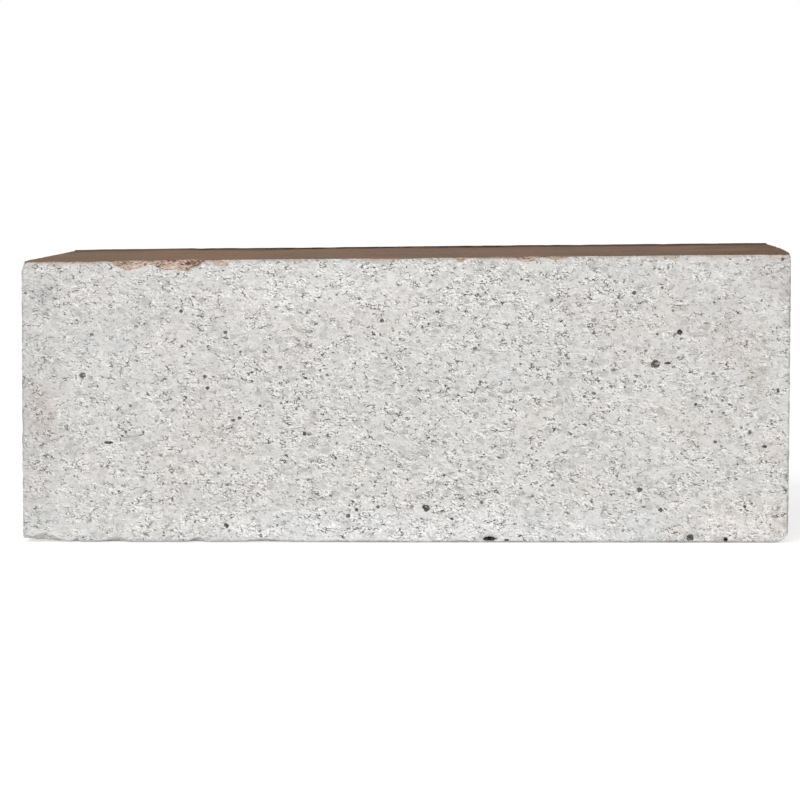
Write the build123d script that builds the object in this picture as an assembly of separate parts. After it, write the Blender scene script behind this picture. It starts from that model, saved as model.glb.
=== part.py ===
from build123d import *
import math
import os

# A solid fired brick lying on its lower bed. It is one piece: a block with two long stretcher
# faces (front and back), two headers (left and right) and two beds (lower and upper).
# X runs along the length, Y from the front to the back, and Z up, in millimetres.
# The origin is at the middle of the lower bed.

# The block
length = 240.0
width = 115.0
height = 90.0

# The soft edge where any two faces meet
arris_radius = 1.0

# Worn corners of the front face: what is lost along the length, up or down the face, and backwards
lower_left_wear_along = 14.7
lower_left_wear_up = 1.4
lower_left_wear_back = 9.0

lower_right_wear_along = 4.4
lower_right_wear_up = 4.4
lower_right_wear_back = 7.0

upper_left_wear_along = 1.8
upper_left_wear_up = 2.6
upper_left_wear_back = 5.0

upper_right_wear_along = 1.7
upper_right_wear_up = 1.7
upper_right_wear_back = 4.0

# Spalls, the shallow flakes broken out of the upper front arris: the distance of the middle from
# the left header, the length along the arris, the drop down the front and the reach over the bed
left_spall_middle = 42.3
left_spall_length = 30.7
left_spall_drop = 2.8
left_spall_reach = 10.0

right_spall_middle = 151.0
right_spall_length = 31.0
right_spall_drop = 1.6
right_spall_reach = 8.0

# Sides that a corner lies on
LEFT, RIGHT = -1, 1
LOWER, UPPER = -1, 1

front_y = -width / 2


def fired_block():
    """The block with all its arrises softened."""
    block = Box(length, width, height, align=(Align.CENTER, Align.CENTER, Align.MIN))
    return fillet(block.edges(), arris_radius)


def wear_corner(body, end, bed, along, up, back):
    """Take a corner of the front face off, along a plane through a point on each of its arrises."""
    corner = Vector(end * length / 2, front_y, height if bed == UPPER else 0)
    outward = Vector(end / along, -1 / back, bed / up)
    cut = Plane(origin=corner - Vector(end * along, 0, 0), z_dir=outward)
    return split(body, bisect_by=cut, keep=Keep.BOTTOM)


def spall_cutter(middle, along, drop, reach):
    """A cylinder that scoops a flake out of the upper front arris.

    Its lowest line runs from the front face, drop below the bed, to the bed, reach behind the
    front, and its radius makes the scoop as long as stated where it crosses the arris. It is
    twice as long as that line, so that its ends stand clear of the brick.
    """
    run = math.hypot(reach, drop)
    depth = drop * reach / run
    radius = ((along / 2) ** 2 + depth**2) / (2 * depth)
    x = middle - length / 2
    line_dir = Vector(0, reach / run, drop / run)
    outward = Vector(0, -drop / run, reach / run)
    line_middle = Vector(x, front_y + reach / 2, height - drop / 2)
    axis = Plane(origin=line_middle + outward * radius, z_dir=line_dir)
    return axis * Cylinder(radius, 2 * run)


worn_corners = [
    (LEFT, LOWER, lower_left_wear_along, lower_left_wear_up, lower_left_wear_back),
    (RIGHT, LOWER, lower_right_wear_along, lower_right_wear_up, lower_right_wear_back),
    (LEFT, UPPER, upper_left_wear_along, upper_left_wear_up, upper_left_wear_back),
    (RIGHT, UPPER, upper_right_wear_along, upper_right_wear_up, upper_right_wear_back),
]
spalls = [
    (left_spall_middle, left_spall_length, left_spall_drop, left_spall_reach),
    (right_spall_middle, right_spall_length, right_spall_drop, right_spall_reach),
]

brick = fired_block()
for worn_corner in worn_corners:
    brick = wear_corner(brick, *worn_corner)
for spall in spalls:
    brick -= spall_cutter(*spall)

os.makedirs("parts", exist_ok=True)
export_step(brick, "parts/brick.step")
print(f"brick: {brick.volume / 1000:.1f} cm3 in {len(brick.solids())} solid")
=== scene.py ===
# %% [markdown]
# # A fired brick
# One block of pale gritty fired clay, with a smooth brown skin on its upper bed and flakes broken
# out of its upper front arris. The solid model gives its true size and place, and this script
# dresses it: it lays a fine lattice over the block, wears the arrises down, roughens the faces,
# sinks the pores, breaks corners and flakes off, and paints the body, the skin and the breaks.

# %% Load the frame
import math
import bpy
import numpy as np
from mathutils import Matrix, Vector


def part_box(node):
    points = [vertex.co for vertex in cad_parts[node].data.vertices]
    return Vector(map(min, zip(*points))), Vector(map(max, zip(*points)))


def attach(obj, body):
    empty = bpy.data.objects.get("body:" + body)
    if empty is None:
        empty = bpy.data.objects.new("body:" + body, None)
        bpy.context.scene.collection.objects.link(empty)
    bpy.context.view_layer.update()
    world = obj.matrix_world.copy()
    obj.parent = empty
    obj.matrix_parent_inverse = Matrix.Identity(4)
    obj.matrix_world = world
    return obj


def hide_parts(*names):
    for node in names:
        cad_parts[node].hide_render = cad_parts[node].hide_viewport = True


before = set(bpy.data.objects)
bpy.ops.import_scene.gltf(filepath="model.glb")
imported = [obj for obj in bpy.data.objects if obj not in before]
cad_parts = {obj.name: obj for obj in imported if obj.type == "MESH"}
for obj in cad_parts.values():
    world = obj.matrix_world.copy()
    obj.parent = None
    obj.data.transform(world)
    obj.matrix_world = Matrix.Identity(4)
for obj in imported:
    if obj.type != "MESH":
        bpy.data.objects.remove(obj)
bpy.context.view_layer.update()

MM = 0.001
low, high = (np.array(corner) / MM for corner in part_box("brick"))
length, width, height = high - low
print(f"the solid brick is {length:.1f} x {width:.1f} x {height:.1f} mm")

# %% [markdown]
# ## The camera
# The picture looks at the long face nearly square on, from about a metre off and a little above,
# through a long lens, so that the upper bed shows only as a thin strip. The place and the turn
# were found from the six corners that the picture shows. A wide lens close by would make the two
# ends of the bed run together faster than they do there, so the long one is kept.

# %% Camera
CAMERA_PLACE = (48.2, -1029.5, 120.0)
CAMERA_TURN = (85.588, 0.30, 2.88)
CAMERA_LENS = 140.65
SENSOR_WIDTH = 36.0

eye = bpy.data.objects.new("camera", bpy.data.cameras.new("camera"))
eye.data.lens = CAMERA_LENS
eye.data.sensor_width = SENSOR_WIDTH
eye.location = [value * MM for value in CAMERA_PLACE]
eye.rotation_euler = [math.radians(angle) for angle in CAMERA_TURN]
bpy.context.collection.objects.link(eye)
scene = bpy.context.scene
scene.camera = eye
scene.view_settings.view_transform = "Standard"
print("camera", CAMERA_PLACE, "mm, lens", CAMERA_LENS, "mm")

# %% [markdown]
# ## Light, floor and background
# The brick was lit softly from all round, with a little more light from the upper left. A white
# sky gives the even part, and one wide far lamp gives the rest, so that a face turned to both
# shows its colour about as it is written. Seen directly, the sky is plain white and the floor adds
# some white of its own, so that it keeps only a soft shadow. A brighter lamp would whiten the
# floor too, but it would bleach the brick.

# %% Sky
SKY_LIGHT = 0.55
SKY_SEEN = 1.0
WHITE = (1.0, 1.0, 1.0, 1.0)


def seen_directly(tree):
    """One for what the camera sees by itself, in a gloss or through glass, and nought for light."""
    path = tree.nodes.new("ShaderNodeLightPath")
    found = path.outputs["Is Camera Ray"]
    for other in ("Is Glossy Ray", "Is Transmission Ray"):
        either = tree.nodes.new("ShaderNodeMath")
        either.operation = "MAXIMUM"
        tree.links.new(found, either.inputs[0])
        tree.links.new(path.outputs[other], either.inputs[1])
        found = either.outputs[0]
    return found


sky = bpy.data.worlds.new("sky")
scene.world = sky
sky.use_nodes = True
sky_tree = sky.node_tree
sky_tree.nodes.clear()
sky_mix = sky_tree.nodes.new("ShaderNodeMixShader")
sky_tree.links.new(seen_directly(sky_tree), sky_mix.inputs[0])
for place, strength in ((1, SKY_LIGHT), (2, SKY_SEEN)):
    glow = sky_tree.nodes.new("ShaderNodeBackground")
    glow.inputs["Color"].default_value = WHITE
    glow.inputs["Strength"].default_value = strength
    sky_tree.links.new(glow.outputs[0], sky_mix.inputs[place])
sky_out = sky_tree.nodes.new("ShaderNodeOutputWorld")
sky_tree.links.new(sky_mix.outputs[0], sky_out.inputs["Surface"])
print("sky light", SKY_LIGHT)

# %% Lamp
LAMP_LEFT = 25.0
LAMP_HEIGHT = 40.0
LAMP_SPREAD = 35.0
LAMP_STRENGTH = 1.67

lamp = bpy.data.objects.new("lamp", bpy.data.lights.new("lamp", "SUN"))
lamp.data.angle = math.radians(LAMP_SPREAD)
lamp.data.energy = LAMP_STRENGTH
lamp.rotation_euler = (math.radians(90.0 - LAMP_HEIGHT), 0.0, math.radians(-LAMP_LEFT))
bpy.context.collection.objects.link(lamp)
print("lamp", LAMP_LEFT, "degrees to the left and", LAMP_HEIGHT, "up")

# %% Floor
FLOOR_SIDE = 40000.0

reach = FLOOR_SIDE / 2 * MM
floor_corners = [(-reach, -reach, 0), (reach, -reach, 0), (reach, reach, 0), (-reach, reach, 0)]
floor_mesh = bpy.data.meshes.new("floor")
floor_mesh.from_pydata(floor_corners, [], [(0, 1, 2, 3)])
floor = bpy.data.objects.new("floor", floor_mesh)
bpy.context.collection.objects.link(floor)
print("floor", FLOOR_SIDE, "mm square")

# %% Floor paper
FLOOR_COLOUR = (0.80, 0.80, 0.80, 1.0)
FLOOR_SEEN = (0.42, 0.42, 0.42, 1.0)
FLOOR_GLOW = 0.66

paper = bpy.data.materials.new("floor_paper")
paper.use_nodes = True
paper_tree = paper.node_tree
paper_tree.nodes.clear()
paper_lit = paper_tree.nodes.new("ShaderNodeBsdfDiffuse")
paper_lit.inputs["Color"].default_value = FLOOR_COLOUR
paper_seen = paper_tree.nodes.new("ShaderNodeBsdfDiffuse")
paper_seen.inputs["Color"].default_value = FLOOR_SEEN
paper_glow = paper_tree.nodes.new("ShaderNodeEmission")
paper_glow.inputs["Strength"].default_value = FLOOR_GLOW
paper_sum = paper_tree.nodes.new("ShaderNodeAddShader")
paper_tree.links.new(paper_seen.outputs[0], paper_sum.inputs[0])
paper_tree.links.new(paper_glow.outputs[0], paper_sum.inputs[1])
paper_mix = paper_tree.nodes.new("ShaderNodeMixShader")
paper_tree.links.new(seen_directly(paper_tree), paper_mix.inputs[0])
paper_tree.links.new(paper_lit.outputs[0], paper_mix.inputs[1])
paper_tree.links.new(paper_sum.outputs[0], paper_mix.inputs[2])
paper_out = paper_tree.nodes.new("ShaderNodeOutputMaterial")
paper_tree.links.new(paper_mix.outputs[0], paper_out.inputs["Surface"])
floor_mesh.materials.append(paper)
print("floor glows by", FLOOR_GLOW, "where it is seen directly")

# %% [markdown]
# ## Chance, but the same each time
# Fired clay is uneven at every scale, from a slow bow of the whole face down to single grains.
# Blender has noise textures, but the shape needs the same kind of unevenness in numpy, for all
# the points at once. Two kinds are enough: smooth unevenness, and round grains.

# %% Smooth unevenness and grains
LATTICE = 48


def uneven(points, cell, seed):
    """Smooth chance from 0 to 1: random numbers stand on a cubic lattice with that cell size, and
    each point blends the eight round it, with weights that ease in and out."""
    table = np.random.default_rng(seed).random((LATTICE, LATTICE, LATTICE))
    scaled = points / cell
    base = np.floor(scaled).astype(int)
    ease = (scaled - base) ** 2 * (3 - 2 * (scaled - base))
    total = np.zeros(len(points))
    for corner in np.ndindex(2, 2, 2):
        weight = np.prod(np.where(corner, ease, 1 - ease), axis=1)
        i, j, k = ((base + corner) % LATTICE).T
        total += weight * table[i, j, k]
    return total


def grains(points, cell, seed):
    """How far each point is from the middle of its nearest grain, in cells: every cell of a cubic
    lattice holds one grain at a random place, and a point looks at its own cell and the 26 round
    it."""
    table = np.random.default_rng(seed).random((LATTICE, LATTICE, LATTICE, 3))
    scaled = points / cell
    base = np.floor(scaled).astype(int)
    nearest = np.full(len(points), np.inf)
    for step in np.ndindex(3, 3, 3):
        spot = base + np.array(step) - 1
        i, j, k = (spot % LATTICE).T
        gap = np.linalg.norm(spot + table[i, j, k] - scaled, axis=1)
        nearest = np.minimum(nearest, gap)
    return nearest


print("lattice of", LATTICE, "cells a side")

# %% [markdown]
# ## The block as a lattice
# The brick is a closed skin of six gridded faces that share the points along their arrises. It
# could be a subdivided cube, but that spends as many points on the dull middle of a face as on
# its arrises, where the shape is. So the lines of the lattice stand close together near the
# arrises and further apart in the middle.

# %% Lines of the lattice
FINE_STEP = 0.33
STEP_GROWTH = 1.13
COARSE_STEP = (1.0, 2.5, 1.0)


def graded(start, end, coarse):
    """Places from start to end: the steps begin fine, each is the one before times the growth
    until it is coarse, and the second half mirrors the first."""
    half = (end - start) / 2
    count = int(half / FINE_STEP) + 2
    growth = STEP_GROWTH ** np.arange(count)
    reached = np.cumsum(np.minimum(FINE_STEP * growth, coarse))
    last = np.searchsorted(reached, half)
    near = np.concatenate([[0.0], reached[: last + 1] * half / reached[last]])
    return np.concatenate([start + near, (end - near[:-1])[::-1]])


xs, ys, zs = (graded(low[a], high[a], COARSE_STEP[a]) for a in range(3))
print("lines along X, Y and Z:", len(xs), len(ys), len(zs))

# %% Points and faces of the lattice
shape = (len(xs), len(ys), len(zs))
shell = np.ones(shape, bool)
shell[1:-1, 1:-1, 1:-1] = False
number = np.full(shape, -1)
number[shell] = np.arange(shell.sum())
block = np.stack([lines[at] for lines, at in zip((xs, ys, zs), np.nonzero(shell))], axis=1)

# Each side is a grid of point numbers that runs to the right and then up, seen from outside
sides = {
    "front": number[:, 0, :],
    "back": number[::-1, -1, :],
    "left": number[0, ::-1, :],
    "right": number[-1, :, :],
    "lower": number[:, ::-1, 0],
    "upper": number[:, :, -1],
}


def cell_corners(grid):
    """The four corners of every cell of a grid, turning from its first direction to its second."""
    corners = (grid[:-1, :-1], grid[1:, :-1], grid[1:, 1:], grid[:-1, 1:])
    return np.stack(corners, axis=2).reshape(-1, 4, *grid.shape[2:])


faces = np.concatenate([cell_corners(grid) for grid in sides.values()])
print(len(block), "points,", 2 * len(faces), "triangles")

# %% [markdown]
# ## Arrises
# A pressed brick leaves its mould with sharp arrises, and handling wears them round, more in some
# places than in others. A bevel modifier would round them all alike. Here each point is measured
# from a slightly smaller block inside the brick and set back on to a ball round that block, and
# the ball's radius changes along the arris.

# %% Worn arrises
ARRIS_RADIUS = 0.3
ARRIS_WEAR = 0.8
WEAR_CELL = 6.0
FOOT_WEAR = 0.5
FOOT_HEIGHT = 4.0

gaps = np.sort(np.minimum(block - low, high - block), axis=1)
arris_gap = gaps[:, 1]

wear = uneven(block, WEAR_CELL, seed=11) * uneven(block, WEAR_CELL / 3, seed=12)
radius = ARRIS_RADIUS + ARRIS_WEAR * wear
radius += FOOT_WEAR * np.clip(1 - (block[:, 2] - low[2]) / FOOT_HEIGHT, 0, 1)


def soften(points, radius):
    """Each point, measured from the nearest point of a block that is smaller by the radius all
    round, is set at the radius along that line. Gives the points and their outward directions."""
    core = np.clip(points, low + radius[:, None], high - radius[:, None])
    arm = points - core
    outward = arm / np.linalg.norm(arm, axis=1, keepdims=True)
    return core + outward * radius[:, None], outward


surface, outward = soften(block, radius)
print(f"arris radius {radius.min():.2f} to {radius.max():.2f} mm")

# %% [markdown]
# ## Relief of the faces
# The body is coarse grains in a finer ground, so the faces are pebbled by a tenth of a millimetre
# or two, with a slow bow under it. A displacement modifier could do this from a texture, but the
# steps below work on the roughened points themselves. The upper bed was pressed smooth and keeps
# little more than the bow. The relief goes in and out about the block's own faces, apart from the
# lower bed, which the brick lies on: there it is slight and only goes in.

# %% Pebbled faces
BOW_DEPTH = 0.25
BOW_CELL = 45.0
GRAIN_DEPTH = 0.22
GRAIN_CELL = 2.6
GROUND_DEPTH = 0.14
GROUND_CELL = 1.3
SKIN_SHARE = 0.12
FOOT_SHARE = 0.3
# The upward part of the outward direction where the bed begins, and over which it eases in
BED_FROM = 0.4
BED_EASE = 0.5

bed = np.clip((outward[:, 2] - BED_FROM) / BED_EASE, 0, 1)
foot = np.clip(-outward[:, 2], 0, 1)
coarse = np.clip(grains(block, GRAIN_CELL, seed=21), 0, 1) ** 2
ground = uneven(block, GROUND_CELL, seed=22)
pebbles = GRAIN_DEPTH * coarse + GROUND_DEPTH * ground
bow = BOW_DEPTH * uneven(block, BOW_CELL, seed=23)
relief = bow + pebbles * (1 - (1 - SKIN_SHARE) * bed)
relief = (relief - relief.mean()) * (1 - foot) + FOOT_SHARE * relief * foot
surface = surface - outward * relief[:, None]
print(f"relief {relief.min():.2f} to {relief.max():.2f} mm deep")

# %% [markdown]
# ## Pores
# Round pores and burnt-out specks pit the faces. On the long face the larger ones are where the
# picture has them, and the sides that it does not show get the same kind at random. Balls cut out
# with booleans would be slow and leave thin triangles, so the points of the lattice are sunk. Each
# pit is a bowl: the depth falls from the middle to the rim as the square of the distance.

# %% Pores of the front
# The distance from the left header, the height above the lower bed, half the length, half the
# height, and how dark the painted shade in it is
FRONT_PORES = [
    (198.5, 56.0, 1.30, 1.25, 0.85), (206.0, 65.9, 0.82, 0.82, 0.95), (202.3, 56.2, 0.95, 0.42, 0.90),
    (199.0, 65.3, 0.35, 0.35, 0.80), (195.5, 60.1, 0.50, 0.40, 0.70), (185.5, 54.2, 0.70, 0.40, 0.60),
    (179.4, 69.7, 0.70, 0.60, 0.50), (184.6, 49.1, 0.40, 0.35, 0.75), (179.3, 46.9, 0.60, 0.40, 0.70),
    (191.9, 78.1, 0.60, 0.55, 0.85), (166.3, 75.9, 0.50, 0.50, 0.75), (209.3, 1.7, 1.10, 0.95, 0.85),
    (220.3, 1.1, 0.60, 0.60, 1.00), (200.1, 10.4, 0.70, 0.60, 0.90), (193.5, 16.7, 0.80, 0.70, 0.85),
    (146.7, 1.3, 2.00, 0.65, 1.00), (152.0, 0.8, 0.75, 0.40, 0.90), (64.0, 5.4, 0.75, 0.70, 0.90),
    (126.9, 11.0, 1.15, 0.95, 0.90), (135.0, 7.6, 0.40, 0.40, 0.90), (144.3, 12.8, 0.40, 0.50, 0.75),
    (111.8, 11.3, 0.50, 0.45, 0.85), (105.0, 10.4, 0.55, 0.50, 0.85), (102.5, 8.5, 0.60, 0.50, 0.85),
    (50.5, 72.8, 0.50, 0.50, 0.85), (22.3, 65.6, 0.50, 0.40, 0.70), (19.2, 52.7, 0.95, 0.85, 0.80),
    (64.3, 66.2, 0.50, 0.45, 0.80), (57.7, 52.4, 0.60, 0.50, 0.80), (58.6, 48.7, 0.50, 0.45, 0.85),
    (27.2, 31.6, 1.10, 0.42, 0.90), (34.3, 43.1, 0.38, 0.35, 0.75), (47.6, 41.8, 0.60, 0.50, 0.50),
    (13.9, 36.6, 0.60, 0.55, 0.45), (32.7, 35.0, 0.38, 0.35, 0.75), (66.5, 38.6, 0.55, 0.40, 0.85),
    (68.6, 39.3, 0.50, 0.45, 0.85), (113.4, 69.7, 0.55, 0.50, 0.80), (81.5, 55.2, 0.50, 0.40, 0.75),
    (96.2, 52.7, 0.50, 0.40, 0.75), (89.0, 34.5, 0.50, 0.45, 0.80), (236.4, 47.7, 0.40, 0.60, 0.85),
    (232.3, 30.2, 0.70, 0.40, 0.95), (217.0, 31.7, 0.45, 0.40, 0.80), (211.0, 43.3, 0.42, 0.40, 0.90),
    (216.0, 41.1, 0.40, 0.35, 0.70), (219.5, 40.8, 0.40, 0.35, 0.70), (227.6, 34.5, 0.45, 0.40, 0.75),
    (226.3, 11.5, 0.42, 0.40, 0.90), (235.6, 8.4, 1.00, 0.40, 0.55), (213.5, 11.3, 0.50, 0.40, 0.60),
    (237.7, 88.6, 0.50, 0.50, 0.90), (10.2, 0.9, 0.60, 0.50, 0.80),
]


def on_front(along, up):
    """The place on the front that far from the left header and that high above the lower bed."""
    return low[0] + along, low[1], low[2] + up


pores = []
for along, up, half_along, half_up, painted_shade in FRONT_PORES:
    half_deep = (half_along + half_up) / 2
    pores.append((*on_front(along, up), half_along, half_deep, half_up, painted_shade))
print(len(pores), "pores on the front")

# %% Pores of the hidden sides
SIDE_PORES = {"back": 50, "left": 18, "right": 18, "lower": 30}
PORE_MARGIN = 4.0
PORE_SIZES = (0.35, 1.2)
LARGE_ARE_RARE = 4
PORE_SHAPE = (1.1, 1.1, 0.85)
PORE_PAINTED_SHADE_RANGE = (0.5, 1.0)

chance = np.random.default_rng(41)
for side, count in SIDE_PORES.items():
    corner_a, corner_b = block[sides[side][0, 0]], block[sides[side][-1, -1]]
    least = np.minimum(corner_a, corner_b)
    most = np.maximum(corner_a, corner_b)
    inset = np.where(most > least, PORE_MARGIN, 0.0)
    places = chance.uniform(least + inset, most - inset, (count, 3))
    halves = PORE_SIZES[0] + (PORE_SIZES[1] - PORE_SIZES[0]) * chance.random(count) ** LARGE_ARE_RARE
    painted_shades = chance.uniform(*PORE_PAINTED_SHADE_RANGE, count)
    rows = np.column_stack([places, np.outer(halves, PORE_SHAPE), painted_shades])
    pores += [tuple(row) for row in rows]
pores = np.array(pores)
print(len(pores), "pores in all")

# %% Pits
PIT_DEPTH = 0.9


def nearest_pores(places):
    """For each place the number of the pore whose rim is nearest, and its distance from that
    pore's middle as a share of the pore's half sizes."""
    number_found = np.zeros(len(places), int)
    share_found = np.full(len(places), np.inf)
    least_gap = np.full(len(places), np.inf)
    for which, pore in enumerate(pores):
        share = np.linalg.norm((places - pore[:3]) / pore[3:6], axis=1)
        gap = (share - 1) * pore[4]
        nearer = gap < least_gap
        number_found[nearer] = which
        share_found[nearer] = share[nearer]
        least_gap[nearer] = gap[nearer]
    return number_found, share_found


at_points, share = nearest_pores(block)
pit = PIT_DEPTH * pores[at_points, 4] * np.clip(1 - share**2, 0, 1)
surface = surface - outward * pit[:, None]
print(f"the deepest pit is {pit.max():.2f} mm")

# %% [markdown]
# ## Worn corners and broken flakes
# A knock takes a corner off along a rough plane, and a heavier one lifts a flake out of an arris.
# Cutting them with booleans would leave ragged triangles, so the points that stand outside the
# break are moved straight back on to it. How far a point moved says how fresh the surface is, and
# the paint uses that later.

# %% Corners
# The header and the bed that meet there, and what is lost along, up or down, and backwards
CORNER_WEAR = [
    (low[0], low[2], 14.7, 1.4, 40.0),
    (high[0], low[2], 3.0, 2.7, 30.0),
    (low[0], high[2], 1.8, 2.6, 5.0),
    (high[0], high[2], 2.4, 1.5, 10.0),
]
SOFT_BREAK = 0.35
BREAK_ROUGHNESS = 0.5
ROUGH_REACH = 1.0
CRUMB_CELL = 1.6
FINE_CRUMBS = 0.6

fine_crumbs = FINE_CRUMBS * uneven(block, CRUMB_CELL / 2, seed=32)
rough = uneven(block, CRUMB_CELL, seed=31) + fine_crumbs - (1 + FINE_CRUMBS) / 2


def break_off(points, normal, over):
    """Points that stand over a break, by that much along its normal, go back on to it. The amount
    eases in as (over + root of over squared and softness squared) / 2."""
    cut = (over + np.hypot(over, SOFT_BREAK)) / 2
    return points - cut[:, None] * normal, cut


broken = np.zeros(len(block))
for corner_x, corner_z, along, up, back in CORNER_WEAR:
    side = np.sign(corner_z - height / 2)
    normal = np.array([np.sign(corner_x) / along, -1 / back, side / up])
    depth = 1 / np.linalg.norm(normal)
    normal *= depth
    over = (surface - (corner_x, low[1], corner_z)) @ normal + depth
    over += BREAK_ROUGHNESS * rough * (over > -ROUGH_REACH)
    surface, cut = break_off(surface, normal, over)
    broken = np.maximum(broken, cut)
print(f"corners lose up to {broken.max():.2f} mm")

# %% Flakes out of the front arrises
# The distance of the middle from the left header, the length along the arris, the height on the
# front and the reach over the bed
UPPER_FLAKES = [
    (12.0, 22.0, 0.7, 3.0),
    (34.5, 15.0, 2.2, 8.0),
    (48.6, 18.5, 3.4, 11.0),
    (63.0, 5.3, 2.2, 5.0),
    (117.6, 14.0, 0.4, 3.0),
    (138.0, 5.0, 1.8, 5.0),
    (148.0, 16.0, 0.6, 4.0),
    (158.5, 8.0, 1.2, 7.0),
    (167.5, 8.0, 0.9, 4.0),
    (236.5, 7.0, 1.0, 4.0),
]
LOWER_FLAKES = [
    (0.0, 11.0, 3.2, 2.5),
    (2.5, 25.0, 3.0, 2.5),
    (16.9, 2.6, 1.3, 2.5),
    (28.5, 10.0, 1.6, 3.0),
    (55.3, 5.6, 1.4, 3.0),
    (76.5, 17.0, 1.1, 3.0),
]
FLAKE_ROUGHNESS = 1.1
FLAKE_BLUNTNESS = 2.5
FLAKE_CLEARANCE = 3.0
RAGGED_CELL = 4.5

ragged_edge = uneven(block, RAGGED_CELL, seed=33) - 0.5
flakes = [(high[2], *flake) for flake in UPPER_FLAKES]
flakes += [(low[2], *flake) for flake in LOWER_FLAKES]
for arris_z, middle, along, drop, back in flakes:
    side = np.sign(arris_z - height / 2)
    run = math.hypot(drop, back)
    normal = np.array([0.0, -drop, side * back]) / run
    depth = drop * back / run
    share = (block[:, 0] - low[0] - middle) / (along / 2)
    scoop = depth * (1 - np.abs(share) ** FLAKE_BLUNTNESS)
    scoop += FLAKE_ROUGHNESS * (rough + ragged_edge) * depth / 2
    over = (surface - (0.0, low[1], arris_z)) @ normal + np.maximum(scoop, -FLAKE_CLEARANCE)
    surface, cut = break_off(surface, normal, over)
    broken = np.maximum(broken, cut)
print(f"flakes are up to {broken.max():.2f} mm deep")

# %% [markdown]
# ## The burr along the back
# A low burr of dragged clay runs along the back arris of the bed, and it burnt nearly black in
# places. It could be a strip of its own, but it is the same clay, so it is the last few
# millimetres of the bed and of the back, lifted by less than half a millimetre, more in some
# places than in others.

# %% Burr
BURR_HEIGHT = 0.40
BURR_WIDTH = 3.5
BURR_CELL = 5.0
BURR_LEAST = 0.8
BURR_SPREAD = 0.4

from_arris = np.maximum(high[1] - block[:, 1], high[2] - block[:, 2])
ridge = np.clip(1 - from_arris / BURR_WIDTH, 0, 1)
burr = BURR_HEIGHT * ridge * (BURR_LEAST + BURR_SPREAD * uneven(block, BURR_CELL, seed=51))
surface[:, 2] += burr
print(f"burr up to {burr.max():.2f} mm high")

# %% [markdown]
# ## Out of true
# No fired brick is quite square. This one is a little lower at its left end, so the heights above
# the lower bed shrink towards that end. Its headers lean a little to the right, the left one is a
# millimetre out of square, and the right one has a slight belly from front to back. A lattice
# modifier could bend it so, but a few sums on the points say plainly by how much.

# %% Lower left end, leaning headers and a belly
LEFT_DROP = 1.5
HEADER_LEAN = 0.75
LEFT_SKEW = 1.0
HEADER_BELLY = 1.4
BELLY_REACH = 30.0

lower_left = 1 - LEFT_DROP / height * (high[0] - surface[:, 0]) / length
surface[:, 2] = low[2] + (surface[:, 2] - low[2]) * lower_left
from_right = (high[0] - surface[:, 0]) / length
surface[:, 0] -= LEFT_SKEW * from_right * (surface[:, 1] - low[1]) / width
near_right = np.clip(1 - (high[0] - surface[:, 0]) / BELLY_REACH, 0, 1) ** 2
surface[:, 0] += HEADER_BELLY * near_right * (1 - (surface[:, 1] / high[1]) ** 2)
surface[:, 0] += HEADER_LEAN * ((surface[:, 2] - low[2]) / height - 0.5)
print("upper bed", f"{surface[:, 2].max():.2f} mm above the lower bed")

# %% [markdown]
# ## The mesh
# The points go into Blender in metres. The paint needs to know where the upper bed, the fresh
# breaks and the arrises are, so each point carries those as attributes, and each face carries its
# nearest pore. The flat map lays the six sides out with the long front face largest, because it is
# looked at most.

# %% Mesh and what its points and faces carry
mesh = bpy.data.meshes.new("brick_worn")
mesh.from_pydata(surface * MM, [], faces)
carried = {
    "upper": outward[:, 2],
    "broken": broken,
    "arris_gap": arris_gap,
    "below_bed": high[2] - block[:, 2],
}
for name, values in carried.items():
    layer = mesh.attributes.new(name, "FLOAT", "POINT")
    layer.data.foreach_set("value", values.astype(np.float32))

at_faces, _ = nearest_pores(block[faces].mean(axis=1))
for name, first in (("pore_middle", 0), ("pore_half", 3)):
    layer = mesh.attributes.new(name, "FLOAT_VECTOR", "FACE")
    layer.data.foreach_set("vector", pores[at_faces, first : first + 3].astype(np.float32).ravel())
for name, column in (("pore_size", 4), ("pore_painted_shade", 6)):
    layer = mesh.attributes.new(name, "FLOAT", "FACE")
    layer.data.foreach_set("value", pores[at_faces, column].astype(np.float32))
print("attributes", *mesh.attributes.keys())

# %% Flat map
# Where a side's lower left corner lies on the map, and how much of the map a metre takes
SIDE_PLACES = {
    "front": (0.02, 0.01, 4.0),
    "upper": (0.02, 0.39, 2.4),
    "back": (0.02, 0.69, 2.4),
    "left": (0.62, 0.39, 2.4),
    "right": (0.62, 0.62, 2.4),
    "lower": (0.62, 0.85, 1.2),
}


def flat_corners(side):
    """Where the corners of a side's cells lie on the flat map: the distances along the side's two
    directions, times its scale, from its place on the map."""
    grid = sides[side]
    start = block[grid[0, 0]]
    right = np.abs(block[grid[:, 0]] - start).sum(axis=1)
    up = np.abs(block[grid[0, :]] - start).sum(axis=1)
    left_edge, lower_edge, scale = SIDE_PLACES[side]
    flat = np.stack(np.meshgrid(right, up, indexing="ij"), axis=2) * MM * scale
    return cell_corners(flat + (left_edge, lower_edge))


flat_map = np.concatenate([flat_corners(side) for side in sides])
mesh.uv_layers.new(name="OFBake").data.foreach_set("uv", flat_map.astype(np.float32).ravel())
mesh.polygons.foreach_set("use_smooth", np.ones(len(faces), bool))
mesh.update()
brick = bpy.data.objects.new("brick_worn", mesh)
bpy.context.collection.objects.link(brick)
print("mesh valid:", not mesh.validate(verbose=False))

# %% [markdown]
# ## Paint helpers
# The finish is made of nodes that read the brick's own coordinates, in millimetres, so grains run
# round the arrises as they do in a solid body. The nodes could be placed by hand in the editor,
# but a few short functions keep them readable: each adds a node or two, feeds them and gives back
# the output. A range below says where a mark starts and where it is full, and then what it goes
# from and to, unless that is nought to one.

# %% Sums of nodes
clay = bpy.data.materials.new("fired_clay")
clay.use_nodes = True
tree = clay.node_tree
tree.nodes.clear()


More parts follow.
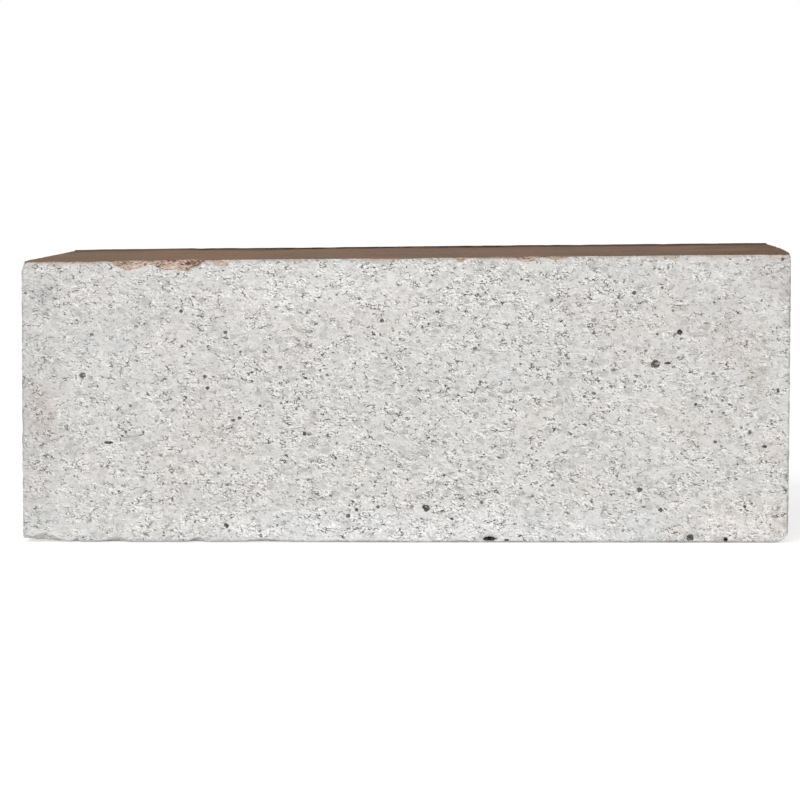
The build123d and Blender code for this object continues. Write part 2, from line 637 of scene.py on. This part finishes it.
def feed(target, value):
    """Link a socket to another one, or set it to a plain value."""
    if isinstance(value, bpy.types.NodeSocket):
        tree.links.new(value, target)
    else:
        target.default_value = value


def maths(operation, first, second=0.0):
    """One sum of two values."""
    made = tree.nodes.new("ShaderNodeMath")
    made.operation = operation
    feed(made.inputs[0], first)
    feed(made.inputs[1], second)
    return made.outputs[0]


def product(first, *others):
    """Values multiplied together."""
    for other in others:
        first = maths("MULTIPLY", first, other)
    return first


def plus(value, other, weight):
    """A value plus another one times its weight."""
    return maths("ADD", value, maths("MULTIPLY", other, weight))


def weighed(*parts):
    """The sum of values, each times its weight."""
    total = 0.0
    for value, weight in parts:
        total = plus(total, value, weight)
    return total


def vector(operation, first, second):
    """One sum of two places, or the distance between them."""
    made = tree.nodes.new("ShaderNodeVectorMath")
    made.operation = operation
    feed(made.inputs[0], first)
    feed(made.inputs[1], second)
    return made.outputs["Value" if operation == "DISTANCE" else "Vector"]


def step(value, start, end, first=0.0, last=1.0):
    """Ease from first to last as the value goes from start to end."""
    made = tree.nodes.new("ShaderNodeMapRange")
    made.interpolation_type = "SMOOTHSTEP"
    for place, number_in in enumerate((value, start, end, first, last)):
        feed(made.inputs[place], number_in)
    return made.outputs[0]


place_m = tree.nodes.new("ShaderNodeTexCoord").outputs["Object"]
spot = vector("MULTIPLY", place_m, (1 / MM, 1 / MM, 1 / MM))
part = tree.nodes.new("ShaderNodeSeparateXYZ")
feed(part.inputs[0], spot)
along_x, along_y, along_z = part.outputs
print("coordinates in millimetres")

# %% Patterns from nodes


def noise(where, cell, detail=2.0, roughness=0.5, output="Fac"):
    """Smooth noise with that cell size in millimetres, from 0 to 1, or with output Color three."""
    made = tree.nodes.new("ShaderNodeTexNoise")
    feed(made.inputs["Vector"], where)
    made.inputs["Scale"].default_value = 1 / cell
    made.inputs["Detail"].default_value = detail
    made.inputs["Roughness"].default_value = roughness
    return made.outputs[output]


def cells(where, cell):
    """Voronoi cells of that size in millimetres, as a node with its distance and cell colours."""
    made = tree.nodes.new("ShaderNodeTexVoronoi")
    feed(made.inputs["Vector"], where)
    made.inputs["Scale"].default_value = 1 / cell
    return made


def channel(cell_colour, which):
    """One of the three random numbers of a cell's colour."""
    made = tree.nodes.new("ShaderNodeSeparateColor")
    tree.links.new(cell_colour, made.inputs[0])
    return made.outputs[which]


def attribute(name, output="Fac"):
    """A value, or with output Vector a place, that the points or faces carry."""
    made = tree.nodes.new("ShaderNodeAttribute")
    made.attribute_name = name
    return made.outputs[output]


print("patterns of noise, cells and attributes")

# %% Colours from nodes


def colour(red, green, blue):
    """A colour given as a screen shows it, from 0 to 255, as linear light, by the standard curve
    of screens."""
    shown = np.array([red, green, blue]) / 255
    light = np.where(shown <= 0.04045, shown / 12.92, ((shown + 0.055) / 1.055) ** 2.4)
    return (*light.tolist(), 1.0)


def blend(amount, first, second, way="MIX"):
    """The second colour laid over the first by that amount. With way MULTIPLY the second is a
    tint, and what is under it still shows. A Mix node has sockets for each kind of value, and
    those for colours are inputs 6 and 7 and output 2."""
    made = tree.nodes.new("ShaderNodeMix")
    made.data_type = "RGBA"
    made.blend_type = way
    feed(made.inputs[0], amount)
    feed(made.inputs[6], first)
    feed(made.inputs[7], second)
    return made.outputs[2]


def ramp(value, stops):
    """A colour for each value, through stops of a value and the colour that a screen shows."""
    made = tree.nodes.new("ShaderNodeValToRGB")
    points = made.color_ramp.elements
    while len(points) < len(stops):
        points.new(0.5)
    for point, (place, shown) in zip(points, stops):
        point.position = place
        point.color = colour(*shown)
    feed(made.inputs[0], value)
    return made.outputs[0]


print("white as light:", colour(255, 255, 255))

# %% [markdown]
# ## The pale body
# Seen close, the body is flat pale grains with short crevices round them, white flakes and
# grit between, round greyer stones and many small burnt specks. The crevices are darkened with
# painted shade, and each knob has a painted highlight on one side and painted shade on the other.
# A picture of a brick would be quick to wrap on, but it would repeat and stretch. Noise and cells
# in the brick's own space are cut through by every face, as real grains are. Each kind of mark is
# made by itself, their sum is one tone, and a ramp turns the tone into colour, with a longer way
# down to dark than up to white.

# %% Marks of the body
PRESSED = (0.8, 1.0, 1.1)
LIGHT_SIDE = (0.12, 0.0, 0.30)
NOISE_SHIFT = np.array([3.7, 7.1, 1.9])
CRISP_RANGE = (90.0, 30.0, 0.94, 1.18)
BUSY_CELL = 4.5
BUSY_RANGE = (0.41, 0.59, 0.4, 1.38)
GRIT_CELL = 0.45
KNOB_CELL = 0.78
FOLD_CELL = 1.3
FOLD_RANGE = (0.06, 0.0)
OPEN_CELL = 1.6
OPEN_RANGE = (0.50, 0.58)
WHITE_FLAKE_CELL = 0.95
WHITE_FLAKE_RANGE = (0.60, 0.68)

bedded = vector("MULTIPLY", spot, PRESSED)


def apart(where, times):
    """The same places in another part of the noise, so that two kinds of mark do not agree."""
    return vector("ADD", where, (NOISE_SHIFT * times).tolist())


# The front is crisper in its middle than towards its ends, and in some patches than in others
crisper = step(maths("ABSOLUTE", along_x), *CRISP_RANGE)
busy = product(step(noise(apart(bedded, 1), BUSY_CELL, roughness=0.7), *BUSY_RANGE), crisper)

# A knob gets a painted highlight on the side where the noise rises towards the light, and painted
# shade on the side away from it
grit = noise(apart(bedded, 2), GRIT_CELL, detail=1.0, roughness=0.6)
knob = noise(bedded, KNOB_CELL, detail=1.0, roughness=0.6)
towards_light = vector("ADD", bedded, LIGHT_SIDE)
knob_painted_light = noise(towards_light, KNOB_CELL, detail=1.0, roughness=0.6)
knob_painted_light = maths("SUBTRACT", knob_painted_light, knob)

# A crevice is where a noise crosses its middle, broken off where another one is low
fold = maths("ABSOLUTE", maths("SUBTRACT", noise(apart(bedded, 3), FOLD_CELL, detail=1.0), 0.5))
is_open = step(noise(apart(bedded, 4), OPEN_CELL, detail=1.0), *OPEN_RANGE)
crevice = product(step(fold, *FOLD_RANGE), is_open)
white_flake = step(noise(apart(bedded, 5), WHITE_FLAKE_CELL, detail=1.0), *WHITE_FLAKE_RANGE)
print("grit, knobs, crevices and flakes of", GRIT_CELL, "to", FOLD_CELL, "mm")

# %% Tone of the body
PEBBLE_CELL = 1.6
CLOUD_CELL = 10.0
GRIT_TONE = 0.36
KNOB_PAINTED_LIGHT_TONE = 0.42
CREVICE_PAINTED_SHADE = -0.31
FLAKE_TONE = 0.135
MEAN_TONE = 0.18
PEBBLE_TONE = 0.08
CLOUD_TONE = 0.14
PLAIN_TONE = 0.405
BODY_SHADES = [
    (0.05, (85, 83, 80)),
    (0.21, (133, 131, 127)),
    (0.36, (174, 172, 169)),
    (0.455, (202, 200, 197)),
    (0.494, (213, 211, 208)),
    (0.542, (221, 219, 216)),
    (0.604, (234, 233, 230)),
    (0.67, (247, 246, 244)),
]

pebble = channel(cells(bedded, PEBBLE_CELL).outputs["Color"], 0)
cloud = noise(apart(bedded, 6), CLOUD_CELL, roughness=1.0)
# The crevices darken the tone as painted shade, and the knobs lighten and darken it on their two
# sides as painted highlight and shade
rough_tone = weighed(
    (grit, GRIT_TONE), (knob_painted_light, KNOB_PAINTED_LIGHT_TONE), (crevice, CREVICE_PAINTED_SHADE), (white_flake, FLAKE_TONE)
)
rough_tone = product(maths("SUBTRACT", rough_tone, MEAN_TONE), busy)
tone = maths("ADD", rough_tone, weighed((pebble, PEBBLE_TONE), (cloud, CLOUD_TONE)))
body = ramp(maths("ADD", tone, PLAIN_TONE), BODY_SHADES)
print("body toned in", len(BODY_SHADES), "shades")

# %% Hue of the body
HUE_CELL = 16.0
# Where a hue lies in its noise and how strong it is, and the colour: pinker, then bluer
BODY_HUES = [
    ((0.54, 0.70, 0.0, 0.15), (222, 206, 200)),
    ((0.46, 0.30, 0.0, 0.20), (206, 212, 213)),
]

hue = noise(apart(bedded, 7), HUE_CELL, roughness=0.6)
for hue_range, shown in BODY_HUES:
    body = blend(step(hue, *hue_range), body, colour(*shown))
print(len(BODY_HUES), "hues")

# %% Stones
STONE_CELL = 2.8
STONE_FEW = (0.76, 0.84)
STONE_EDGE = (0.44, 0.32)
STONE_STRENGTH = 0.55
STONE_COLOUR = colour(184, 183, 181)

stone = cells(bedded, STONE_CELL)
greyer = step(channel(stone.outputs["Color"], 0), *STONE_FEW)
greyer = product(greyer, step(stone.outputs["Distance"], *STONE_EDGE))
body = blend(product(greyer, STONE_STRENGTH), body, STONE_COLOUR)
print("stones of up to", STONE_CELL, "mm")

# %% Specks
SPECK_CELL = 2.0
SPECK_SIZES = (0.62, 1.0, 0.0, 0.20)
SPECK_EDGE = (0.02, -0.05)
SPECK_STRENGTH = 0.9
SPECK_SHADES = [(0.0, (58, 54, 50)), (0.5, (96, 92, 86)), (1.0, (150, 146, 140))]
JAG_CELL = 0.8
JAG_SIZE = 1.4

jagged = noise(spot, JAG_CELL, detail=1.0, output="Color")
jagged = vector("MULTIPLY", jagged, (JAG_SIZE, JAG_SIZE, JAG_SIZE))
dots = cells(vector("ADD", bedded, jagged), SPECK_CELL)
dot_size = step(channel(dots.outputs["Color"], 0), *SPECK_SIZES)
speck = step(maths("SUBTRACT", dots.outputs["Distance"], dot_size), *SPECK_EDGE)
speck_shade = ramp(channel(dots.outputs["Color"], 1), SPECK_SHADES)
body = blend(product(speck, SPECK_STRENGTH), body, speck_shade)
print("specks in", len(SPECK_SHADES), "shades")

# %% [markdown]
# ## Stains and pores of the front
# The long face has a few soft stains, paler, greyer, pinker or browner than the body, and its
# pores are painted dark, as painted shade in the pits. Laid over the body as plain colours the
# stains would hide its grain, so they are tints that multiply it. A stain is an ellipse with an
# uneven edge. The pores lie where the pits are: each face carries the middle and the half sizes of
# its nearest pore, so one distance is enough for all of them. A few hold a paler grain.

# %% Stains
# The distance from the left header, the height above the lower bed, half the length, half the
# height, the colour that it gives the plain body, and its strength
STAINS = [
    (88.0, 82.0, 70.0, 14.0, (224, 223, 220), 0.40),
    (120.0, 4.0, 110.0, 10.0, (224, 223, 221), 0.60),
    (0.0, 40.0, 13.0, 52.0, (186, 184, 181), 0.45),
    (238.0, 84.0, 13.0, 11.0, (190, 185, 181), 0.45),
    (222.0, 65.0, 14.0, 14.0, (202, 195, 190), 0.45),
    (7.5, 78.4, 4.2, 2.6, (176, 178, 180), 0.55),
    (7.3, 39.3, 5.0, 9.0, (210, 196, 190), 0.35),
    (235.0, 29.0, 6.0, 5.0, (212, 198, 190), 0.40),
    (230.0, 51.0, 4.5, 7.0, (188, 182, 168), 0.45),
    (238.0, 6.0, 3.5, 5.5, (198, 190, 180), 0.45),
    (226.0, 9.0, 16.0, 8.0, (224, 214, 208), 0.35),
    (205.0, 3.6, 2.8, 1.8, (228, 210, 204), 0.45),
]
STAIN_DEPTH = 6.0
STAIN_EDGE = (1.8, 0.8)
STAIN_RAGGED = 1.1
EDGE_CELL = 2.6
PLAIN_BODY = np.array(colour(212, 210, 206))

edge_noise = noise(spot, EDGE_CELL, detail=3.0, roughness=0.6)


def share_from(middle, halves, where=spot):
    """How far a place is from the middle of an ellipsoid, as a share of its half sizes."""
    shrink = 1 / np.array(halves)
    shrunk_middle = (np.array(middle) * shrink).tolist()
    return vector("DISTANCE", vector("MULTIPLY", where, shrink.tolist()), shrunk_middle)


for along, up, half_along, half_up, shown, strength in STAINS:
    share = share_from(on_front(along, up), (half_along, STAIN_DEPTH, half_up))
    share = plus(share, edge_noise, STAIN_RAGGED)
    tint = (np.array(colour(*shown)) / PLAIN_BODY).tolist()
    body = blend(step(share, *STAIN_EDGE, 0.0, strength), body, tint, way="MULTIPLY")
print(len(STAINS), "stains")

# %% Dark pores, painted shade in the pits
PORE_EDGE = (0.18, -0.04)
PORE_RIM = 1.6
PORE_RAGGED = 1.2
PORE_RAGGED_CELL = 0.6
PORE_SHADE_CELL = 0.9
PORE_PAINTED_SHADES = [(0.42, (34, 31, 29)), (0.66, (82, 78, 74))]

from_middle = vector("SUBTRACT", spot, attribute("pore_middle", "Vector"))
in_halves = vector("DIVIDE", from_middle, attribute("pore_half", "Vector"))
share = vector("DISTANCE", in_halves, (0.0, 0.0, 0.0))
share = plus(share, noise(spot, PORE_RAGGED_CELL), PORE_RAGGED)
gap = product(maths("SUBTRACT", share, PORE_RIM), attribute("pore_size"))
pore = product(step(gap, *PORE_EDGE), attribute("pore_painted_shade"))
body = blend(pore, body, ramp(noise(spot, PORE_SHADE_CELL), PORE_PAINTED_SHADES))
print("painted", len(pores), "pores")

# %% Grains in the pores
# The distance from the left header, the height above the lower bed, half the length and height
PORE_GRAINS = [(199.1, 56.1, 0.95, 0.32), (19.5, 52.8, 0.32, 0.36), (126.9, 11.3, 0.40, 0.30)]
PORE_GRAIN_RANGE = (1.2, 0.7, 0.0, 0.75)
PORE_GRAIN_COLOUR = colour(186, 183, 178)

for along, up, half_along, half_up in PORE_GRAINS:
    share = share_from(on_front(along, up), (half_along, STAIN_DEPTH, half_up))
    body = blend(step(share, *PORE_GRAIN_RANGE), body, PORE_GRAIN_COLOUR)
print(len(PORE_GRAINS), "grains in pores")

# %% [markdown]
# ## The brown skin
# The upper bed has a smooth brown skin with reddish and olive clouds, faint drag marks along its
# length, sandy mottling, pinholes and pale grains. It is greyer at the left end, reddest near the
# right and dark brown at the right end, and along the back it is burnt dark, with nearly black
# spots. It could be a second material, but it shades into the body at the arrises, so it is made
# in the same one. Slow noise gives the clouds, and soft patches give the places that the picture
# shows.

# %% Clouds of the skin
# The size of a cloud, and its weight
SKIN_CLOUDS = [(38.0, 0.6), (9.0, 0.4)]
SKIN_SHADES = [
    (0.40, (104, 89, 70)),
    (0.47, (115, 95, 79)),
    (0.53, (122, 98, 83)),
    (0.60, (132, 100, 85)),
]
# The distance from the left header, the half length, the colour and its strength
SKIN_PATCHES = [
    (60.0, 80.0, (135, 107, 84), 0.75),
    (0.0, 30.0, (120, 105, 91), 0.8),
    (198.0, 20.0, (106, 74, 65), 0.75),
    (238.0, 34.0, (92, 67, 47), 0.9),
]
PATCH_FULL = -0.25
PATCH_WANDER = 130.0
WANDER_CELL = 24.0

clouds = [(noise(spot, cell, detail=3.0, roughness=0.6), weight) for cell, weight in SKIN_CLOUDS]
skin = ramp(weighed(*clouds), SKIN_SHADES)
wander = maths("SUBTRACT", noise(spot, WANDER_CELL, detail=3.0, roughness=0.6), 0.5)
wander = product(wander, PATCH_WANDER)
for along, half, shown, strength in SKIN_PATCHES:
    gap = maths("ABSOLUTE", maths("SUBTRACT", along_x, float(low[0] + along)))
    gap = maths("ADD", gap, wander)
    skin = blend(step(gap, half, PATCH_FULL * half, 0.0, strength), skin, colour(*shown))
print("skin clouded, with", len(SKIN_PATCHES), "patches")

# %% Grain of the skin
DRAGGED = (0.07, 1.0, 1.0)
DRAG_CELL = 1.8
SAND_CELL = 1.4
MOTTLE_CELL = 2.6
SOOT_CELL = 6.0
SOOT_RANGE = (0.66, 0.74)

drag = noise(vector("MULTIPLY", spot, DRAGGED), DRAG_CELL, detail=3.0, roughness=0.6)
sand = noise(spot, SAND_CELL, detail=3.0)
mottle = noise(spot, MOTTLE_CELL, detail=3.0, roughness=0.7)
soot = step(noise(spot, SOOT_CELL), *SOOT_RANGE)

# A mark, the range that it is laid on over, and its colour
skin_marks = [
    (drag, (0.45, 0.68, 0.0, 0.16), (142, 118, 99)),
    (sand, (0.50, 0.75, 0.0, 0.45), (92, 74, 61)),
    (mottle, (0.54, 0.70, 0.0, 0.25), (144, 122, 104)),
    (grit, (0.50, 0.70, 0.0, 0.40), (150, 129, 112)),
    (grit, (0.46, 0.28, 0.0, 0.40), (88, 70, 58)),
]
for mark, mark_range, shown in skin_marks:
    skin = blend(step(mark, *mark_range), skin, colour(*shown))

# A mark that already goes from nought to one, its strength and its colour
skin_specks = [
    (speck, 0.75, (64, 49, 41)),
    (white_flake, 0.22, (170, 150, 132)),
    (soot, 0.6, (66, 50, 41)),
]
for mark, strength, shown in skin_specks:
    skin = blend(product(mark, strength), skin, colour(*shown))
print("skin grained with", len(skin_marks) + len(skin_specks), "marks")

# %% Burnt back of the bed
BURNT_INWARD = 12.0
BURNT_OUTWARD = 1.0
BURNT_RAGGED = 14.0
BURNT_WANDER = 0.25
BURNT_ALONG = (-115.0, -55.0, 0.60, 0.92)
BURNT_COLOUR = colour(72, 57, 48)

burnt = weighed((along_y, 1.0), (edge_noise, BURNT_RAGGED), (wander, BURNT_WANDER))
burnt = step(burnt, float(high[1] - BURNT_INWARD), float(high[1] + BURNT_OUTWARD))
burnt = product(burnt, step(maths("ADD", along_x, wander), *BURNT_ALONG))
skin = blend(burnt, skin, BURNT_COLOUR)
print("burnt", BURNT_INWARD, "mm in from the back")

# %% Burnt spots of the burr
# The distance from the left header and half the length
BURNT_SPOTS = [
    (45.9, 2.0), (68.2, 1.3), (74.8, 1.3), (83.5, 3.4), (92.9, 1.3), (102.0, 2.8),
    (109.3, 1.3), (116.6, 1.2), (128.8, 1.2), (136.4, 1.4), (143.4, 1.2), (146.9, 1.2),
    (163.6, 1.4), (167.8, 1.2),
]
SPOT_SPREAD = 1.3
SPOT_INWARD = 7.0
SPOT_DOWN = 20.0
SPOT_RANGE = (1.3, 0.8, 0.0, 0.95)
SPOT_COLOUR = colour(36, 26, 22)
CRUMBLE_CELL = 2.2
CRUMBLE_SIZE = np.array([3.0, 3.0, 0.0])

crumble = noise(spot, CRUMBLE_CELL, output="Color")
crumble = vector("MULTIPLY", crumble, CRUMBLE_SIZE.tolist())
crumbled_spot = vector("SUBTRACT", vector("ADD", spot, crumble), (CRUMBLE_SIZE / 2).tolist())
for along, half in BURNT_SPOTS:
    spot_middle = (low[0] + along, high[1], high[2])
    share = share_from(spot_middle, (SPOT_SPREAD * half, SPOT_INWARD, SPOT_DOWN), crumbled_spot)
    skin = blend(step(share, *SPOT_RANGE), skin, SPOT_COLOUR)
print(len(BURNT_SPOTS), "burnt spots on the burr")

# %% [markdown]
# ## Fresh breaks and worn arrises
# Where the skin is broken the body under it shows pinkish buff, crumbly and streaked along the
# arris, with a painted highlight on its upward lip, a few dark reddish hollows whose dark is
# painted shade as well as the brown of broken skin, and some paler chips. The dark streaks are
# partly painted shade too. Lower down a break is old and grey, with a pale rim. The arrises
# between are painted grey as painted shade on their rounding, and buff along the bed where they
# are worn. All this could be painted by hand, but the points already know how far they broke back,
# and how far they are from an arris and from the bed, so those distances place it.

# %% Fresh breaks
# The distance from the left header, the height above the lower bed, half the length, half the
# height, and how much darker the tone is there, as painted shade in a hollow; below nought it is
# paler, for a pale chip
HOLLOW_SHADES_AND_PALE_CHIPS = [
    (53.6, 88.0, 4.6, 1.8, 0.13),
    (46.5, 88.4, 3.4, 0.8, 0.06),
    (33.0, 88.0, 3.6, 0.9, 0.03),
    (158.5, 89.2, 3.6, 0.8, 0.06),
    (63.0, 88.0, 5.0, 3.0, -0.07),
    (236.0, 89.0, 7.0, 4.0, -0.08),
]
HOLLOW_EDGE = (2.1, 1.2)
HOLLOW_RAGGED = 1.6
STREAKED = (0.35, 1.0, 1.5)
STREAK_CELL = 1.9
STREAK_TONE = 0.4
CRUMBLED = (0.7, 1.0, 1.2)
CRUMBS_CELL = 0.75
CRUMBS_TONE = 0.6
FRESH_SHADES = [
    (0.29, (78, 54, 47)),
    (0.38, (112, 86, 76)),
    (0.44, (164, 136, 121)),
    (0.49, (198, 172, 157)),
    (0.55, (213, 195, 184)),
    (0.63, (230, 220, 213)),
]

streaks = noise(vector("MULTIPLY", spot, STREAKED), STREAK_CELL, roughness=0.6)
crumbs = noise(vector("MULTIPLY", spot, CRUMBLED), CRUMBS_CELL, roughness=0.65)


def break_share(along, up, half_along, half_up):
    """How far a place is from the middle of a part of the breaks, with a crumbly edge."""
    share = share_from(on_front(along, up), (half_along, 2 * STAIN_DEPTH, half_up))
    return plus(share, crumbs, HOLLOW_RAGGED)


# The streaks and the hollows darken the breaks, partly as painted shade and partly as the brown of
# broken skin
break_tone = weighed((crumbs, CRUMBS_TONE), (streaks, STREAK_TONE))
for *place, darker in HOLLOW_SHADES_AND_PALE_CHIPS:
    hollow_shade = step(break_share(*place), *HOLLOW_EDGE, 0.0, darker)
    break_tone = maths("SUBTRACT", break_tone, hollow_shade)
fresh = ramp(break_tone, FRESH_SHADES)
print("fresh breaks with", len(HOLLOW_SHADES_AND_PALE_CHIPS), "hollows and chips")

# %% Olive parts of the breaks, and a painted highlight on their upward lip
OLIVE_PART = (137.3, 88.6, 2.4, 1.6)
OLIVE_PART_RANGE = (2.0, 1.3, 0.0, 0.5)
OLIVE_CELL = 11.0
OLIVE_RANGE = (0.50, 0.62, 0.0, 0.35)
OLIVE_COLOUR = colour(186, 170, 138)
LIP_RANGE = (1.3, 0.9)
LIP_UPWARD = (0.45, 0.75)
LIP_CRUMBS = (0.44, 0.54)
LIP_HIGHLIGHT_STRENGTH = 0.45
LIP_PAINTED_HIGHLIGHT = colour(216, 192, 176)
RAGGED_PAINT_CELL = 0.8
CUT_RAGGED = 0.9

olive = step(noise(spot, OLIVE_CELL, detail=1.0), *OLIVE_RANGE)
olive = maths("MAXIMUM", olive, step(break_share(*OLIVE_PART), *OLIVE_PART_RANGE))
fresh = blend(olive, fresh, OLIVE_COLOUR)
ragged = noise(spot, RAGGED_PAINT_CELL, roughness=0.6)
upper = attribute("upper")
cut = plus(attribute("broken"), ragged, CUT_RAGGED)
# A painted highlight on the upward faces of the breaks near their rim
lip_highlight = product(step(cut, *LIP_RANGE), step(upper, *LIP_UPWARD), step(crumbs, *LIP_CRUMBS))
fresh = blend(product(lip_highlight, LIP_HIGHLIGHT_STRENGTH), fresh, LIP_PAINTED_HIGHLIGHT)
print("olive parts and a pale lip on the breaks")

# %% Skin over the bed, and breaks through it
BED_RAGGED = 0.3
BED_OVER_BACK = 0.6
BED_RANGE = (0.96, 1.06)
BACK_FROM = 5.0
BACK_FULL = 1.0
BREAK_RANGE = (0.58, 0.95)
NEAR_BED = (12.0, 8.0)
CORNER_FROM = 1.0
CORNER_FULL = 4.0

near_back = step(along_y, float(high[1] - BACK_FROM), float(high[1] - BACK_FULL))
bed_part = weighed((upper, 1.0), (ragged, BED_RAGGED), (near_back, BED_OVER_BACK))
bed_part = step(bed_part, *BED_RANGE)
shade = blend(bed_part, body, skin)
below_bed = attribute("below_bed")
break_part = step(cut, *BREAK_RANGE)
off_corner = step(along_x, float(low[0] + CORNER_FROM), float(low[0] + CORNER_FULL))
fresh_part = product(break_part, step(below_bed, *NEAR_BED), off_corner)
shade = blend(fresh_part, shade, fresh)
print("skin laid over the bed and broken through")

# %% Rubbed arrises, and painted shade on the arrises of the body
EDGE_RAGGED = 1.2
WORN_SHADED_EDGE = (1.5, 0.8)
WORN_SHADED_CELL = 3.5
WORN_SHADED_RANGE = (0.40, 0.58)
GREY_PAINTED_SHADE = colour(160, 158, 156)
GREY_SHADE_STRENGTH = 0.70
SKIN_WEAR = colour(158, 134, 116)
SKIN_STRENGTH = 0.30

not_bed = maths("SUBTRACT", 1.0, bed_part)
edge = plus(attribute("arris_gap"), ragged, EDGE_RAGGED)
worn_and_shaded = product(step(edge, *WORN_SHADED_EDGE), step(noise(spot, WORN_SHADED_CELL), *WORN_SHADED_RANGE))
bed_rubbed = product(worn_and_shaded, bed_part, maths("SUBTRACT", 1.0, near_back))
# Grey painted shade in patches on the rounded arrises of the body, and buff wear on those of the bed
shade = blend(product(worn_and_shaded, not_bed, GREY_SHADE_STRENGTH), shade, GREY_PAINTED_SHADE)
shade = blend(product(bed_rubbed, SKIN_STRENGTH), shade, SKIN_WEAR)
print("arrises rubbed")

# %% Smear and fringe under the bed
SMEAR_STREAKS = 4.0
SMEAR_EDGE = (4.0, 2.0)
SMEAR_CELL = 13.0
SMEAR_RANGE = (0.44, 0.56, 0.1, 0.6)
BROWN_SMEAR = colour(186, 166, 152)
FRINGE_CRUMBS = 2.4
FRINGE_EDGE = (1.9, 1.3)
FRINGE_STRENGTH = 0.30
BUFF_WEAR = colour(198, 180, 168)

smear = step(plus(below_bed, streaks, SMEAR_STREAKS), *SMEAR_EDGE)
smear = product(smear, step(noise(spot, SMEAR_CELL), *SMEAR_RANGE), not_bed)
shade = blend(smear, shade, BROWN_SMEAR)
fringe = product(step(plus(below_bed, crumbs, FRINGE_CRUMBS), *FRINGE_EDGE), not_bed)
shade = blend(product(fringe, FRINGE_STRENGTH), shade, BUFF_WEAR)
print("smear and fringe under the bed")

# %% Foot
NEAR_FOOT = (14.0, 8.0)
LEFT_RAGGED = 80.0
LEFT_MORE = (60.0, -50.0, 0.15, 0.85)
UNDER_DOWNWARD = (-0.15, -0.50)
UNDER_EDGE = (2.4, 1.6)
OLD_STRENGTH = 0.8
OLD_BREAK = colour(218, 218, 217)
RIM_RANGE = (0.46, 0.56)
RIM_BROKEN = (0.03, 0.09)
RIM_STRENGTH = 0.6
PALE_RIM = colour(242, 241, 239)

near_foot = step(along_z, *NEAR_FOOT)
left_more = step(plus(along_x, edge_noise, LEFT_RAGGED), *LEFT_MORE)
under = product(step(upper, *UNDER_DOWNWARD), step(edge, *UNDER_EDGE), left_more)
old_break = product(break_part, near_foot, OLD_STRENGTH)
rim = product(step(cut, *RIM_RANGE), step(attribute("broken"), *RIM_BROKEN), near_foot)
shade = blend(product(rim, RIM_STRENGTH), shade, PALE_RIM)
shade = blend(maths("MAXIMUM", old_break, under), shade, OLD_BREAK)
print("foot greyed")

# %% [markdown]
# ## Relief too fine for the mesh
# Grains, crevices and specks under a millimetre are finer than the lattice, and a finer lattice
# would be too heavy, so they go in as a bump. The skin is smoother than the body, in its bump and
# in its sheen.

# %% Bump
GRIT_LIFT = 0.45
KNOB_LIFT = 0.70
CREVICE_LIFT = -0.55
PORE_LIFT = -1.2
SKIN_CELL = 1.2
SKIN_LIFT = 0.25
DRAG_LIFT = 0.25
BUMP_STRENGTH = 0.6
BUMP_HEIGHT = 0.30

fine = weighed((grit, GRIT_LIFT), (knob, KNOB_LIFT), (crevice, CREVICE_LIFT), (pore, PORE_LIFT))
skin_relief = noise(spot, SKIN_CELL, detail=3.0, roughness=0.6)
smooth = weighed((skin_relief, SKIN_LIFT), (drag, DRAG_LIFT))
lift = tree.nodes.new("ShaderNodeMix")
lift.data_type = "FLOAT"
feed(lift.inputs[0], bed_part)
feed(lift.inputs[2], fine)
feed(lift.inputs[3], smooth)

bump = tree.nodes.new("ShaderNodeBump")
bump.inputs["Strength"].default_value = BUMP_STRENGTH
bump.inputs["Distance"].default_value = BUMP_HEIGHT * MM
feed(bump.inputs["Height"], lift.outputs[0])
print("bump of", BUMP_HEIGHT, "mm")

# %% Shader
BODY_ROUGHNESS = 0.95
SKIN_ROUGHNESS = 0.85
GLOSS = 0.05

finish = tree.nodes.new("ShaderNodeBsdfPrincipled")
finish.inputs["Specular IOR Level"].default_value = GLOSS
feed(finish.inputs["Base Color"], shade)
feed(finish.inputs["Roughness"], step(bed_part, 0.0, 1.0, BODY_ROUGHNESS, SKIN_ROUGHNESS))
feed(finish.inputs["Normal"], bump.outputs[0])
output = tree.nodes.new("ShaderNodeOutputMaterial")
tree.links.new(finish.outputs[0], output.inputs["Surface"])
mesh.materials.append(clay)
print(len(tree.nodes), "nodes in the finish")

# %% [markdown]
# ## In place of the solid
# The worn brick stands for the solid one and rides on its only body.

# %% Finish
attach(brick, "root")
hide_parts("brick")
